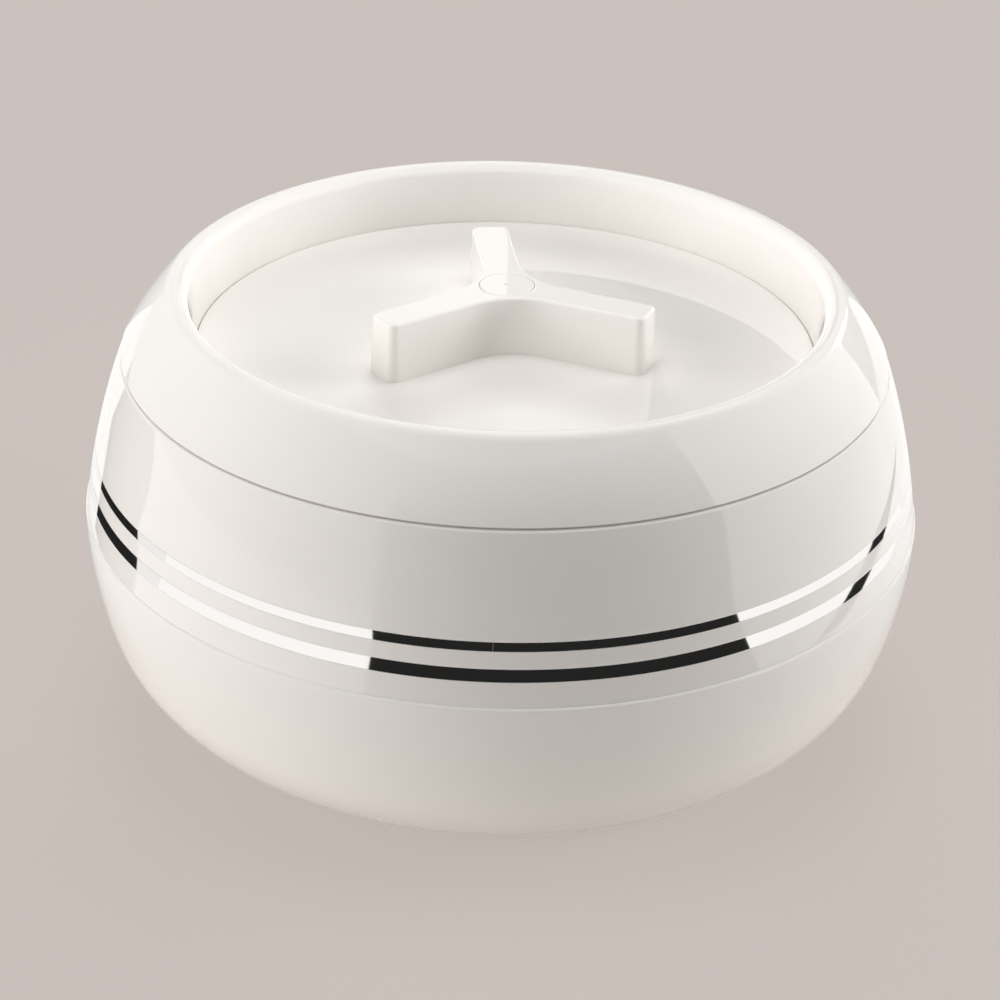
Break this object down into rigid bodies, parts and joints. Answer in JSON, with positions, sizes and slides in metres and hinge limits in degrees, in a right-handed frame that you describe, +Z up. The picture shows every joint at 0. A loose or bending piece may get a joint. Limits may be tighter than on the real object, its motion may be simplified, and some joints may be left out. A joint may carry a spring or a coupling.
{
  "type": "insulated casserole",
  "caption": "Round insulated casserole for flat breads, with a steel inner bowl, mirror bands and a twist-off lid with a three-armed knob in a round recess.",
  "frame": {"origin": "centre of the foot ring's resting plane", "axes": "+Z up along the axis of the bowl, -Y towards the front, where the upper band has its butt joint"},
  "size_m": [0.25, 0.25, 0.1304],
  "materials": {
    "shell": "gloss",
    "mirror_strip": "polished",
    "inner_plastic": "satin",
    "steel": "satin",
    "screw_steel": "satin",
    "seal": "satin",
    "foam": "matte"
  },
  "bodies": {
    "base": {"lower_shell": "shell", "shoulder_shell": "shell", "lower_band": "mirror_strip", "upper_band": "mirror_strip", "base_cover": "inner_plastic", "base_foam_plug": "inner_plastic", "body_foam": "foam", "steel_bowl": "steel", "rim_collar": "inner_plastic"},
    "seal": {"lid_seal": "seal"},
    "lid": {"lid_crown": "shell", "lid_panel": "shell", "knob": "shell", "knob_cap": "shell", "knob_screw": "screw_steel", "knob_washer": "screw_steel", "lid_liner": "inner_plastic", "lid_foam_disc": "foam", "crown_foam_ring": "foam", "lid_foam_plug": "inner_plastic"}
  },
  "joints": [
    {"name": "lid_lift", "type": "slide", "parent": "base", "child": "seal", "axis": [0, 0, 1], "range_m": [0, 0.12]},
    {"name": "lid_twist", "type": "hinge", "parent": "seal", "child": "lid", "pos_m": [0, 0, 0.1117], "axis": [0, 0, 1], "range_deg": [-22, 0]}
  ]
}
